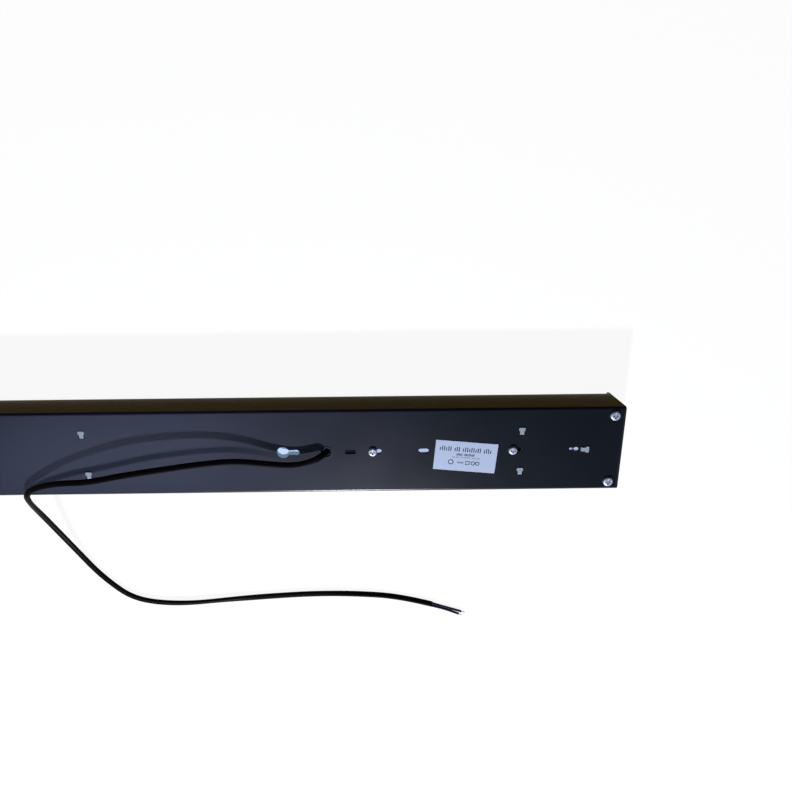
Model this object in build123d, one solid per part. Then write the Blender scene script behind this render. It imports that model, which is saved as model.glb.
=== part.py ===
"""Surface-mounted linear LED fitting, lying on its light-emitting front.

+X runs along the fitting, +Z points out of its rear (mounting) plate, and the
origin is the centre of the face it lies on. All sizes are in millimetres.
"""
from build123d import *
import math
import os

# ---------------------------------------------------------------- driving sizes
fitting_length = 1200.0
fitting_width = 80.0
fitting_height = 45.0

# Folded steel: the black rear channel and the white gear tray inside it
channel_sheet = 0.8
tray_sheet = 0.8
bend_inside_radius = 1.7
channel_foot = 4.0              # height of the channel's lower edges
channel_lip = 4.0               # how far those edges return inwards
tray_side_gap = 1.0             # tray side to channel side
tray_top_gap = 0.2              # tray web to rear plate
tray_foot = 14.0                # height of the tray's lower lips
tray_lip = 9.0
tray_end_inset = 22.0           # tray end to fitting end

# Openings in the rear plate
keyhole_middle_from_end = 299.2
keyhole_entry_diameter = 11.0
keyhole_neck = 4.8
keyhole_seat_diameter = 5.4
keyhole_travel = 12.1
pocket_depth = 1.2
pocket_margin = 4.0
pocket_corner = 4.0
mounting_slot_from_end = 179.0
mounting_slot_length = 9.8
mounting_slot_width = 5.0
wire_hole_from_end = 41.8       # large end of the suspension wire hole
wire_hole_large = 4.8
wire_hole_small = 3.6
wire_hole_neck = 2.0
wire_hole_pitch = 4.8
driver_slot_length = 10.7        # the screw stands at the slot's inner end
driver_slot_width = 4.9
clamp_window_from_end = 244.7
clamp_window_length = 9.4
clamp_window_width = 4.2

# T-shaped lugs of the tray that pass through the rear plate and lie on it
lug_from_end = (91.3, 482.3)
lug_rows = ((15.8, -23.2), (17.0, -22.6))   # Y of the lugs' roots at those two stations
lug_reach = 5.8
lug_stem = 3.6
lug_head = 5.6
lug_head_length = 3.1
lug_corner = 0.9
lug_bend = 0.4
lug_root = 4.0                  # length of stem kept below the bend
lug_clearance = 0.15
end_lug_from_end = 35.9

# Moulded end caps
cap_flange = 2.0
cap_wall = 1.8
cap_skirt = 14.0
cap_clearance = 0.3
cap_foot = 12.5
cap_edge_round = 0.6
boss_diameter = 8.0
boss_depth = 13.0
cap_screw_from_end = 9.8
cap_screw_from_side = 8.0

# Screws: head diameter, head height, shank diameter, shank length
cap_screw = (8.8, 2.3, 3.9, 11.0)
driver_screw = (7.8, 2.4, 4.0, 9.0)
carrier_screw = (5.8, 1.8, 2.9, 5.0)
screw_hole_clearance = 0.25
thread_fit = 0.05
cross_recess_width = 0.16       # share of the head diameter
cross_recess_span = 0.62
cross_recess_depth = 0.6        # share of the head height
pan_head_outline = ((0, 0), (1, 0), (1, 0.4), (0.88, 0.78), (0.66, 1), (0, 1))
shank_point = 0.2
nut_across_flats = 7.0
nut_height = 3.2

# Diffuser
diffuser_wall = 1.5
diffuser_face = 1.6
diffuser_height = 9.5
diffuser_lip_gap = 0.3
diffuser_corner = 3.0
hook_reach = 0.6
hook_height = 1.6
hook_gap = 0.2
diffuser_end_gap = 0.3

# Light source
carrier_sheet = 0.8
carrier_edge_gap = 1.2
lead_hole_length = 14.0
lead_hole_width = 8.0
lead_hole_y = 16.0
lead_hole_beyond_driver = 23.0  # lead hole beyond the driver's outer screw
board_count = 4
board_end_inset = 4.0           # row of boards to the carrier's end
board_width = 18.0
board_thickness = 1.2
board_gap = 4.0
chip_size = (2.8, 3.5, 0.7)
chips_per_board = 30
carrier_screw_count = 5
carrier_screw_inset = 5.2       # in from the tray's side
carrier_screw_end_inset = 30.0
rivet_diameter = 4.0
rivet_height = 1.0
rivet_bevel = 0.6
rivets_per_board = 3
rivet_row = 7.0
rivet_end_inset = 12.0
connector_size = (9.0, 6.0, 3.4)
connector_edge = 0.5            # connector to the board's long edge
connector_bevel = 0.6
feed_connector_width = 6.0

# Driver
driver_inner_screw_from_end = 224.7
driver_outer_screw_from_end = 98.7
driver_ear = 11.0
driver_ear_width = 14.0
driver_ear_corner = 3.0
driver_ear_thickness = 1.6
driver_ear_beyond = (5.5, 3.4)  # ear beyond its screw, inner end and outer end
driver_corner = 2.0
driver_width = 42.0
driver_height = 22.0
driver_wall = 1.2
driver_lid = 1.4
driver_rim_height = 1.6
driver_rim_fit = 0.15
driver_board_thickness = 1.6
driver_board_end_gap = 1.3      # board to the driver's inner walls
driver_board_side_gap = 1.8
driver_board_height = 24.6
driver_post_diameter = 4.0
driver_post_inset = (5.0, 4.0)
# Places on the driver's board are shares of its body's half length and half width
transformer_place = 0.139
transformer_core = (20.0, 18.0, 13.0)
transformer_window = (14.0, 9.4)
transformer_bobbin = (9.3, 15.0)
transformer_limb = 6.0
capacitors = ((-0.59, -0.38, 10.0, 14.0), (0.574, 0.333, 10.0, 13.0), (0.574, -0.286, 8.0, 11.5))
capacitor_shoulder = 0.8
choke_place = (-0.296, 0.38)
choke_drum = (9.0, 11.0)
choke_waist = (12.0, 7.0)       # outside of the turned groove, and its height
choke_core = 6.0
terminal_length = 10.0
terminal_width = 16.0
terminal_height = 11.0
terminal_pitch = 6.0
terminal_fit = 0.2
terminal_bevel = 0.8
wire_insertion = 5.0
lead_diameter = 1.8
lead_straight = 6.0             # output leads beyond the terminal before they dive
lead_dive = 6.0
lead_spread = 3.2               # between the two leads in the carrier's hole
lead_stagger = 3.0

# Cord and what holds it
cord_diameter = 5.6
core_diameter = 2.3
strand_diameter = 1.2
strand_length = 4.0
core_straight = 6.0             # the cores leave the sheath straight before they droop
core_lengths = (33.5, 31.5)
core_side = 0.62                # cores beside and above the sheath's centre line
core_rise = 1.0
core_fan = 1.9                  # half the gap between the cores' ends
core_swerve = -2.6              # both ends veer to this side
core_belly = 0.55
floor_gap = 0.05
cable_entry_from_end = 266.3
cable_hole_diameter = 8.8
grommet_throat = 3.58           # radius at the middle of its bell-mouthed bore
grommet_flare = 0.7             # growth of that radius per millimetre of height
grommet_lip = 0.8
grommet_lip_height = 0.6
clamp_length = 12.0
clamp_width = 20.0
clamp_base = 1.6
clamp_window_fit = 0.3
sheath_beyond_clamp = 1.5
inner_cord_lead_in = 4.0
inner_cord_dive = 0.62          # share of its drop that the cord makes at the exit's slope
inner_core_straight = 5.0

# Rating label
label_length = 56.2
label_width = 28.5
label_thickness = 0.15
label_corner = 0.4
label_from_end = 141.1
label_side_shift = -5.9
label_tilt = -5.5

# ---------------------------------------------------------------- derived sizes
half_length = fitting_length / 2
half_width = fitting_width / 2
plate_top = fitting_height
plate_underside = plate_top - channel_sheet
tray_top = plate_underside - tray_top_gap
tray_underside = tray_top - tray_sheet
tray_half_width = half_width - channel_sheet - tray_side_gap
tray_half_length = half_length - tray_end_inset
carrier_screw_row = tray_half_width - carrier_screw_inset
board_length = (2 * (tray_half_length - board_end_inset) - (board_count - 1) * board_gap) / board_count
carrier_top = tray_foot
carrier_underside = carrier_top - carrier_sheet
board_underside = carrier_underside - board_thickness
channel_half_length = half_length - cap_flange
outer_bend_radius = bend_inside_radius + channel_sheet
lip_inner_edge = half_width - channel_lip
cut_margin = 1.0

keyhole_x = half_length - keyhole_middle_from_end
mounting_slot_x = half_length - mounting_slot_from_end
wire_hole_x = half_length - wire_hole_from_end
end_lug_x = half_length - end_lug_from_end
cap_screw_x = half_length - cap_screw_from_end
cap_screw_y = half_width - cap_screw_from_side
driver_screw_x = (half_length - driver_inner_screw_from_end, half_length - driver_outer_screw_from_end)
clamp_x = half_length - clamp_window_from_end
lead_hole_x = driver_screw_x[1] + lead_hole_beyond_driver
cable_entry_x = half_length - cable_entry_from_end

# Mains cord, from the middle of the cable hole to the end of its sheath. X counts from the
# hole. Over the plate Z counts from the plate; beyond its edge Y counts from that edge.
cord_over_plate = [
    (0.0, 0.0, -0.8), (-4.5, -1.8, 6.2), (-13.2, -6.0, 7.6), (-28.7, -9.4, 8.0), (-50.7, -6.8, 9.6),
    (-78.7, -1.9, 12.8), (-109.7, -3.2, 16.2), (-142.7, -7.1, 18.1), (-176.7, -12.0, 18.6),
    (-209.7, -19.2, 16.9), (-234.7, -21.7, 12.4), (-253.7, -26.0, 8.2), (-268.2, -31.4, 5.8),
    (-273.4, -36.9, 5.2),
]
cord_beyond_edge = [
    (-274.6, -3.9, 47.1), (-277.1, -13.0, 39.8), (-278.4, -29.5, 28.0), (-276.9, -53.7, 15.0),
    (-265.9, -85.3, 5.0), (-253.7, -108.5, 2.8), (-239.2, -126.5, 3.0), (-221.7, -142.5, 2.8),
    (-197.7, -150.6, 3.0), (-161.7, -152.2, 2.8), (-118.7, -147.9, 3.0), (-71.7, -143.6, 2.8),
    (-23.7, -141.2, 3.0), (22.3, -142.4, 2.8), (66.3, -147.6, 3.0), (99.9, -157.8, 2.8),
]
cord_route = [(cable_entry_x + x, y, plate_top + z) for x, y, z in cord_over_plate]
cord_route += [(cable_entry_x + x, y - half_width, z) for x, y, z in cord_beyond_edge]


# ---------------------------------------------------------------- helpers
def save(node, solids):
    """Write one sub-part, given as one solid or a list of separate solids."""
    if not isinstance(solids, (list, tuple)):
        solids = [solids]
    shape = solids[0] if len(solids) == 1 else Compound(children=list(solids))
    export_step(shape, f"parts/{node}.step")


def block(size, low_corner):
    """A box of the given size that starts at its lowest corner."""
    return Pos(*low_corner) * Box(*size, align=(Align.MIN, Align.MIN, Align.MIN))


def along_x(profile, start, end):
    """Extrude a (Y, Z) profile from one X station to another."""
    return Pos(start, 0, 0) * extrude(Plane.YZ * profile, end - start, dir=(1, 0, 0))


def through(outline, low, high):
    """A plan outline stretched from one height to another."""
    return Pos(0, 0, low) * extrude(outline, high - low)


def upright(diameter, low, high, x=0.0, y=0.0):
    """A cylinder along Z between two heights."""
    return Pos(x, y, (low + high) / 2) * Cylinder(diameter / 2, high - low)


def folded_sheet(points, sheet, inside_radius):
    """Section of a folded sheet whose material lies to the left of the given path."""
    path = [Vector(*point) for point in points]
    headings = [(b - a).normalized() for a, b in zip(path, path[1:])]
    normals = [Vector(-h.Y, h.X) for h in headings]
    opposite = [path[0] + normals[0] * sheet]
    near_radii, far_radii = [], []
    for index, corner in enumerate(path[1:-1]):
        before, after = normals[index], normals[index + 1]
        opposite.append(corner + (before + after) * (sheet / (1 + before.dot(after))))
        turns_left = headings[index].cross(headings[index + 1]).Z > 0
        near_radii.append(inside_radius + (sheet if turns_left else 0))
        far_radii.append(inside_radius + (0 if turns_left else sheet))
    opposite.append(path[-1] + normals[-1] * sheet)
    near_side = FilletPolyline(*path, radius=near_radii)
    far_side = FilletPolyline(*opposite, radius=far_radii)
    ends = [Line(path[0], opposite[0]), Line(path[-1], opposite[-1])]
    return make_face(near_side.edges() + far_side.edges() + ends)


def slot_outline(length, width):
    return SlotOverall(length, width)


def bent_tube(points, diameter, label):
    """A round tube along straight runs joined by tangent arcs, as large as the runs allow."""
    path = [Vector(*point) for point in points]
    runs = [b - a for a, b in zip(path, path[1:])]
    radii = []
    for before, after in zip(runs, runs[1:]):
        half_turn = math.radians(before.get_angle(after)) / 2
        radii.append(0.45 * min(before.length, after.length) / math.tan(half_turn))
    centre_line = FilletPolyline(*path, radius=radii)
    section = Plane(origin=path[0], z_dir=runs[0]) * Circle(diameter / 2)
    tube = sweep(section, path=centre_line)
    expected = centre_line.length * math.pi * diameter ** 2 / 4
    print(f"{label}: length {centre_line.length:.1f}, volume {tube.volume:.1f} of {expected:.1f}, "
          f"radii {[round(radius, 1) for radius in radii]}")
    return tube


# ---------------------------------------------------------------- fasteners
def pan_screw(sizes, x, y, seat, up=1):
    """A cross-recessed pan head screw whose head seats at a height and points up or down."""
    head_diameter, head_height, shank_diameter, shank_length = sizes
    outline = [(share * head_diameter / 2, level * head_height) for share, level in pan_head_outline]
    head = revolve(Plane.XZ * Polygon(*outline, align=None), axis=Axis.Z)
    shank = upright(shank_diameter, -shank_length, 0)
    shank = chamfer(shank.edges().group_by(Axis.Z)[0], shank_diameter * shank_point)
    span = head_diameter * cross_recess_span
    width = head_diameter * cross_recess_width
    depth = head_height * cross_recess_depth
    bar = block((span, width, depth + cut_margin), (-span / 2, -width / 2, head_height - depth))
    screw = head + shank - bar - Rot(0, 0, 90) * bar
    turn = Rot(0, 0, 0) if up > 0 else Rot(180, 0, 0)
    return Pos(x, y, seat) * turn * screw


def hex_nut(across_flats, height, bore, x, y, top):
    """A plain hexagon nut hanging below a height."""
    body = extrude(RegularPolygon(across_flats / 2, 6, major_radius=False), height)
    return Pos(x, y, top - height) * (body - upright(bore, -cut_margin, height + cut_margin))


# ---------------------------------------------------------------- plan outlines
def keyhole_outline(margin=0.0):
    """Entry circle, neck and seat circle; the seat lies towards +X."""
    entry = Pos(-keyhole_travel / 2, 0) * Circle(keyhole_entry_diameter / 2 + margin)
    neck = Rectangle(keyhole_travel, keyhole_neck + 2 * margin)
    seat = Pos(keyhole_travel / 2, 0) * Circle(keyhole_seat_diameter / 2 + margin)
    return entry + neck + seat


def wire_hole_outline():
    """Two holes joined by a narrow neck; the large one lies towards +X."""
    large = Circle(wire_hole_large / 2)
    neck = Pos(-wire_hole_pitch / 2, 0) * Rectangle(wire_hole_pitch, wire_hole_neck)
    small = Pos(-wire_hole_pitch, 0) * Circle(wire_hole_small / 2)
    return large + neck + small


def lug_outline():
    """T-shaped lug in plan: the stem starts at the origin and the head lies towards +Y."""
    stem = Pos(0, (lug_reach - lug_root) / 2) * Rectangle(lug_stem, lug_reach + lug_root)
    head_middle = lug_reach - lug_head_length / 2
    head = Pos(0, head_middle) * RectangleRounded(lug_head, lug_head_length, lug_corner)
    return stem + head


def lug_window():
    """Opening in the rear plate that a lug comes up through."""
    low = -tray_sheet - lug_bend - lug_clearance
    high = lug_bend + lug_clearance
    return Pos(0, (low + high) / 2) * Rectangle(lug_head + 2 * lug_clearance, high - low)


def lug_places():
    """Plan places of the lugs: each pair, mirrored to the other half, and one at each end."""
    places = []
    for station, rows in zip(lug_from_end, lug_rows):
        for x in (half_length - station, station - half_length):
            places += [Pos(x, y) for y in rows]
    places.append(Pos(end_lug_x, 0) * Rot(0, 0, -90))
    places.append(Pos(-end_lug_x, 0) * Rot(0, 0, 90))
    return places


def mirrored(outline):
    return mirror(outline, about=Plane.YZ)


def driver_slots():
    outline = slot_outline(driver_slot_length, driver_slot_width)
    shift = (driver_slot_length - driver_slot_width) / 2
    return [Pos(x + shift, 0) * outline for x in driver_screw_x]


# ---------------------------------------------------------------- housing
def rear_channel():
    section = folded_sheet(
        [(lip_inner_edge, channel_foot), (half_width, channel_foot), (half_width, plate_top),
         (-half_width, plate_top), (-half_width, channel_foot), (-lip_inner_edge, channel_foot)],
        channel_sheet, bend_inside_radius)
    channel = along_x(section, -channel_half_length, channel_half_length)
    cuts = [Pos(keyhole_x, 0) * keyhole_outline(), Pos(-keyhole_x, 0) * keyhole_outline()]
    slot = slot_outline(mounting_slot_length, mounting_slot_width)
    cuts += [Pos(mounting_slot_x, 0) * slot, Pos(-mounting_slot_x, 0) * slot]
    wire_hole = Pos(wire_hole_x, 0) * wire_hole_outline()
    cuts += [wire_hole, mirrored(wire_hole)]
    cuts += driver_slots()
    cuts += [place * lug_window() for place in lug_places()]
    cuts.append(Pos(clamp_x, 0) * Rectangle(clamp_window_length, clamp_window_width))
    cuts.append(Pos(cable_entry_x, 0) * Circle(cable_hole_diameter / 2))
    screw_hole = Circle(cap_screw[2] / 2 + screw_hole_clearance)
    for x in (cap_screw_x, -cap_screw_x):
        for y in (cap_screw_y, -cap_screw_y):
            cuts.append(Pos(x, y) * screw_hole)
    for outline in cuts:
        channel -= through(outline, plate_underside - cut_margin, plate_top + cut_margin)
    return channel


def end_cap():
    """Right-hand cap: outer flange, skirt inside the channel and two screw bosses."""
    outline = Pos(0, plate_top / 2) * RectangleRounded(fitting_width, fitting_height, outer_bend_radius)
    flange = along_x(outline, channel_half_length, half_length)
    flange = fillet(flange.faces().sort_by(Axis.X)[-1].edges(), cap_edge_round)
    side = half_width - channel_sheet - cap_clearance
    top = plate_underside - cap_clearance
    skirt_section = folded_sheet([(side, cap_foot), (side, top), (-side, top), (-side, cap_foot)],
                                 cap_wall, bend_inside_radius)
    skirt_start = channel_half_length - cap_skirt
    cap = flange + along_x(skirt_section, skirt_start, channel_half_length)
    rib_low = top - boss_depth
    rib_depth = boss_depth - cap_wall / 2
    side_rib = block((cap_wall, side - cap_wall / 2 - cap_screw_y, rib_depth),
                     (cap_screw_x - cap_wall / 2, cap_screw_y, rib_low))
    end_rib = block((channel_half_length - cap_screw_x, cap_wall, rib_depth),
                    (cap_screw_x, cap_screw_y - cap_wall / 2, rib_low))
    boss = upright(boss_diameter, rib_low, top, cap_screw_x, cap_screw_y) + side_rib + end_rib
    cap += boss + mirror(boss, about=Plane.XZ)
    for y in (cap_screw_y, -cap_screw_y):
        cap -= upright(cap_screw[2] + 2 * thread_fit, plate_top - cap_screw[3] - cut_margin, plate_top,
                       cap_screw_x, y)
    return cap


def gear_tray():
    section = folded_sheet(
        [(tray_half_width - tray_lip, tray_foot), (tray_half_width, tray_foot), (tray_half_width, tray_top),
         (-tray_half_width, tray_top), (-tray_half_width, tray_foot), (-tray_half_width + tray_lip, tray_foot)],
        tray_sheet, bend_inside_radius)
    tray = along_x(section, -tray_half_length, tray_half_length)
    pocket_length = keyhole_travel + keyhole_entry_diameter + 2 * pocket_margin
    pocket_width = keyhole_entry_diameter + 2 * pocket_margin
    for x in (keyhole_x, -keyhole_x):
        pan = Pos(x, 0) * RectangleRounded(pocket_length, pocket_width, pocket_corner)
        well = Pos(x, 0) * RectangleRounded(pocket_length - 2 * tray_sheet, pocket_width - 2 * tray_sheet,
                                            pocket_corner - tray_sheet)
        tray += through(pan, tray_top - pocket_depth - tray_sheet, tray_top)
        tray -= through(well, tray_top - pocket_depth, tray_top + cut_margin)
    for outline in (
            Pos(cable_entry_x, 0) * Circle(cable_hole_diameter / 2),
            Pos(clamp_x, 0) * Rectangle(clamp_window_length, clamp_window_width),
            Pos(driver_screw_x[0], 0) * Circle(driver_screw[2] / 2 + screw_hole_clearance),
            driver_slots()[1]):
        tray -= through(outline, tray_underside - cut_margin, tray_top + cut_margin)
    for place in lug_places():
        tray -= place * lug_blank_opening()
        tray += place * tray_lug()
    for x in carrier_screw_stations():
        for y in (carrier_screw_row, -carrier_screw_row):
            tray -= upright(carrier_screw[2] + 2 * thread_fit, tray_foot - cut_margin,
                            tray_foot + tray_sheet + cut_margin, x, y)
    return tray


def lug_blank_opening():
    """The hole that a lug leaves in the tray's web when it is pressed up."""
    root = -tray_sheet - lug_bend
    length = lug_reach - root
    outline = Pos(0, root + length / 2) * Rectangle(lug_head + lug_clearance, length)
    return through(outline, tray_underside - cut_margin, tray_top + cut_margin)


def tray_lug():
    """A lug: up out of the web, through the plate's window and flat on the plate."""
    root_overlap = 0.4
    start = -tray_sheet - lug_bend - root_overlap
    section = folded_sheet([(start, tray_underside), (0, tray_underside), (0, plate_top), (lug_reach, plate_top)],
                           tray_sheet, lug_bend)
    strip = along_x(section, -lug_head, lug_head)
    return strip & through(lug_outline(), tray_underside - cut_margin, plate_top + 2 * tray_sheet)


# ---------------------------------------------------------------- light source
def carrier_screw_stations():
    span = 2 * (tray_half_length - carrier_screw_end_inset)
    return [-span / 2 + span * index / (carrier_screw_count - 1) for index in range(carrier_screw_count)]


def led_carrier():
    width = 2 * (tray_half_width - carrier_edge_gap)
    plate = block((2 * tray_half_length, width, carrier_sheet), (-tray_half_length, -width / 2, carrier_underside))
    for x in carrier_screw_stations():
        for y in (carrier_screw_row, -carrier_screw_row):
            plate -= upright(carrier_screw[2] + 2 * screw_hole_clearance, carrier_underside - cut_margin,
                             carrier_top + cut_margin, x, y)
    lead_hole = Pos(lead_hole_x, lead_hole_y) * slot_outline(lead_hole_length, lead_hole_width)
    return plate - through(lead_hole, carrier_underside - cut_margin, carrier_top + cut_margin)


def board_starts():
    pitch = board_length + board_gap
    first = -(board_count * pitch - board_gap) / 2
    return [first + pitch * index for index in range(board_count)]


def rivet_places(start):
    step = (board_length - 2 * rivet_end_inset) / (rivets_per_board - 1)
    return [(start + rivet_end_inset + step * index, rivet_row) for index in range(rivets_per_board)]


def led_board(start):
    return block((board_length, board_width, board_thickness), (start, -board_width / 2, board_underside))


def led_chips():
    length, width, height = chip_size
    pitch = board_length / chips_per_board
    chips = []
    for start in board_starts():
        for index in range(chips_per_board):
            x = start + pitch * (index + 0.5)
            chips.append(block(chip_size, (x - length / 2, -width / 2, board_underside - height)))
    return chips


def board_rivets():
    rivets = []
    for start in board_starts():
        for x, y in rivet_places(start):
            head = upright(rivet_diameter, board_underside - rivet_height, board_underside, x, y)
            rivets.append(chamfer(head.edges().group_by(Axis.Z)[0], rivet_height * rivet_bevel))
    return rivets


def board_connectors():
    """Bridging connectors between the boards, and the one that the driver's leads plug into."""
    length, width, height = connector_size
    connectors = []
    for start in board_starts()[1:]:
        middle = start - board_gap / 2
        body = block((length + board_gap, width, height),
                     (middle - (length + board_gap) / 2, -board_width / 2 + connector_edge, board_underside - height))
        connectors.append(chamfer(body.edges().group_by(Axis.Z)[0], connector_bevel))
    feed = block((length, feed_connector_width, height),
                 (lead_hole_x - length / 2, board_width / 2 - feed_connector_width, board_underside - height))
    connectors.append(chamfer(feed.edges().group_by(Axis.Z)[0], connector_bevel))
    return connectors


def diffuser():
    """Opal cover: a shallow trough whose sides snap over the channel's lips."""
    outer = lip_inner_edge - diffuser_lip_gap
    inner = outer - diffuser_wall
    depth = diffuser_height
    shell = Pos(0, depth) * RectangleRounded(2 * outer, 2 * depth, diffuser_corner)
    hollow = Pos(0, depth + diffuser_face) * RectangleRounded(2 * inner, 2 * depth, diffuser_corner - diffuser_wall)
    upper = Pos(0, 1.5 * depth) * Rectangle(2 * half_width, depth)
    section = shell - hollow - upper
    hook_low = channel_foot + channel_sheet + hook_gap
    hook_tip = outer + diffuser_lip_gap + hook_reach
    hook_root = outer - diffuser_wall / 2
    hook_section = Polygon((hook_root, hook_low), (hook_tip, hook_low), (hook_tip, hook_low + hook_height / 2),
                           (outer, hook_low + hook_height), (hook_root, hook_low + hook_height), align=None)
    end = channel_half_length - diffuser_end_gap
    hook = along_x(hook_section, -end, end)
    return along_x(section, -end, end) + hook + mirror(hook, about=Plane.XZ)


# ---------------------------------------------------------------- driver
def driver_body_span():
    """X stations of the driver's box, between its two screwed ears."""
    return driver_screw_x[0] + driver_ear / 2, driver_screw_x[1] - driver_ear / 2


def driver_case():
    start, end = driver_body_span()
    top = tray_underside
    low = top - driver_height
    case = block((end - start, driver_width, driver_height), (start, -driver_width / 2, low))
    case = fillet(case.edges().filter_by(Axis.Z), driver_corner)
    case -= block((end - start - 2 * driver_wall, driver_width - 2 * driver_wall, driver_height),
                  (start + driver_wall, -driver_width / 2 + driver_wall, low - driver_wall))
    for x, side, beyond, edge in zip(driver_screw_x, (-1, 1), driver_ear_beyond, (start, end)):
        tip = x + side * beyond
        root = edge - side * driver_wall
        lobe = Pos(tip - side * driver_ear, 0) * RectangleRounded(2 * driver_ear, driver_ear_width, driver_ear_corner)
        keep = Pos((tip + root) / 2, 0) * Rectangle(abs(tip - root), driver_ear_width)
        case += through(lobe & keep, top - driver_ear_thickness, top)
        case -= upright(driver_screw[2] + 2 * screw_hole_clearance, top - driver_ear_thickness - cut_margin,
                        top + cut_margin, x, 0)
        window_width = terminal_width + 2 * terminal_fit
        case -= block((4 * driver_wall, window_width, terminal_height + 2 * terminal_fit),
                      (edge - 2 * driver_wall, -window_width / 2, board_top() - terminal_fit))
    return case


def driver_cover():
    """Lid on the driver's case, with a rim that plugs into it."""
    start, end = driver_body_span()
    low = tray_underside - driver_height
    lid = block((end - start, driver_width, driver_lid), (start, -driver_width / 2, low - driver_lid))
    lid = fillet(lid.edges().filter_by(Axis.Z), driver_corner)
    inset = driver_wall + driver_rim_fit
    inner = inset + driver_wall
    rim = block((end - start - 2 * inset, driver_width - 2 * inset, driver_rim_height),
                (start + inset, -driver_width / 2 + inset, low))
    rim_hole = block((end - start - 2 * inner, driver_width - 2 * inner, driver_rim_height),
                     (start + inner, -driver_width / 2 + inner, low))
    return lid + (rim - rim_hole)


def on_driver_board(share_x, share_y):
    """Plan place of a component from its shares of the driver's half length and half width."""
    start, end = driver_body_span()
    return (start + end) / 2 + share_x * (end - start) / 2, share_y * driver_width / 2


def board_top():
    return driver_board_height + driver_board_thickness


def driver_board():
    start, end = driver_body_span()
    length = end - start - 2 * (driver_wall + driver_board_end_gap)
    width = driver_width - 2 * (driver_wall + driver_board_side_gap)
    middle = (start + end) / 2
    board = block((length, width, driver_board_thickness), (middle - length / 2, -width / 2, driver_board_height))
    posts = []
    low = tray_underside - driver_height
    inset_x, inset_y = driver_post_inset
    for x in (inset_x - length / 2, length / 2 - inset_x):
        for y in (inset_y - width / 2, width / 2 - inset_y):
            posts.append(upright(driver_post_diameter, low, driver_board_height, middle + x, y))
    return board, posts


def driver_transformer():
    """Ferrite core halves round a wound bobbin."""
    length, width, height = transformer_core
    window_length, window_height = transformer_window
    bobbin_diameter, bobbin_length = transformer_bobbin
    middle = on_driver_board(transformer_place, 0)[0]
    base = board_top()
    lying = Pos(middle, 0, base + height / 2) * Rot(90, 0, 0)
    limb = lying * Cylinder(transformer_limb / 2, width)
    core = block(transformer_core, (middle - length / 2, -width / 2, base))
    window = block((window_length, width + 2 * cut_margin, window_height),
                   (middle - window_length / 2, -width / 2 - cut_margin, base + (height - window_height) / 2))
    bobbin = lying * Cylinder(bobbin_diameter / 2, bobbin_length)
    return [core - window, bobbin - limb, limb]


def driver_capacitors():
    cans = []
    for share_x, share_y, diameter, height in capacitors:
        x, y = on_driver_board(share_x, share_y)
        can = upright(diameter, board_top(), board_top() + height, x, y)
        cans.append(chamfer(can.edges().group_by(Axis.Z)[-1], capacitor_shoulder))
    return cans


def driver_choke():
    """A drum core, waisted for its winding."""
    x, y = on_driver_board(*choke_place)
    drum_diameter, drum_height = choke_drum
    waist_diameter, waist_height = choke_waist
    low = board_top() + (drum_height - waist_height) / 2
    drum = upright(drum_diameter, board_top(), board_top() + drum_height, x, y)
    groove = upright(waist_diameter, low, low + waist_height, x, y)
    return drum - (groove - upright(choke_core, low, low + waist_height, x, y))


def driver_terminal(input_side):
    """Push-in terminal block at one end of the driver, with a wire hole for each pole."""
    start, end = driver_body_span()
    edge = start if input_side else end - terminal_length
    body = block((terminal_length, terminal_width, terminal_height), (edge, -terminal_width / 2, board_top()))
    body = chamfer(body.edges().filter_by(Axis.Y).group_by(Axis.Z)[-1], terminal_bevel)
    mouth_x = start if input_side else end
    for y in (-terminal_pitch / 2, terminal_pitch / 2):
        wire_way = Cylinder(core_diameter / 2 + thread_fit, 2 * wire_insertion)
        body -= Pos(mouth_x, y, wire_height()) * Rot(0, 90, 0) * wire_way
    return body


def wire_height():
    return board_top() + terminal_height / 2


# ---------------------------------------------------------------- cord fittings
def cable_grommet():
    """Rubber bush in the cable hole: a lip on each side and a bell-mouthed bore."""
    low = tray_underside - grommet_lip_height
    high = plate_top + grommet_lip_height
    middle = (tray_underside + plate_top) / 2
    hole = cable_hole_diameter / 2
    lip = hole + grommet_lip
    mouth = grommet_throat + grommet_flare * (high - middle)
    profile = Polygon((grommet_throat, middle), (mouth, low), (lip, low), (lip, tray_underside),
                      (hole, tray_underside), (hole, plate_top), (lip, plate_top), (lip, high),
                      (mouth, high), align=None)
    return Pos(cable_entry_x, 0, 0) * revolve(Plane.XZ * profile, axis=Axis.Z)


def inner_cord_points():
    """Sheathed cord inside: up from the clamp and out through the bush at the cord's own slope."""
    first, second = (Vector(*point) for point in cord_route[:2])
    out = (second - first).normalized()
    inner_height = wire_height()
    drop = first - out * (inner_cord_dive * (first.Z - inner_height) / out.Z)
    return [tuple(first), tuple(drop), (clamp_x - clamp_length / 2 - inner_cord_lead_in, 0.0, inner_height),
            (clamp_x + clamp_length / 2 + sheath_beyond_clamp, 0.0, inner_height)]


def inner_cores():
    """The two insulated cores from the end of the sheath into the driver's input terminal."""
    start = clamp_x + clamp_length / 2 + sheath_beyond_clamp
    mouth = driver_body_span()[0]
    leads = []
    for side in (1, -1):
        near = side * core_diameter * 0.55
        far = side * terminal_pitch / 2
        points = [(start, near), (start + inner_core_straight, near), (mouth - inner_core_straight, far),
                  (mouth + wire_insertion, far)]
        leads.append(bent_tube([(x, y, wire_height()) for x, y in points], core_diameter, "inner core"))
    return leads


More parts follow.
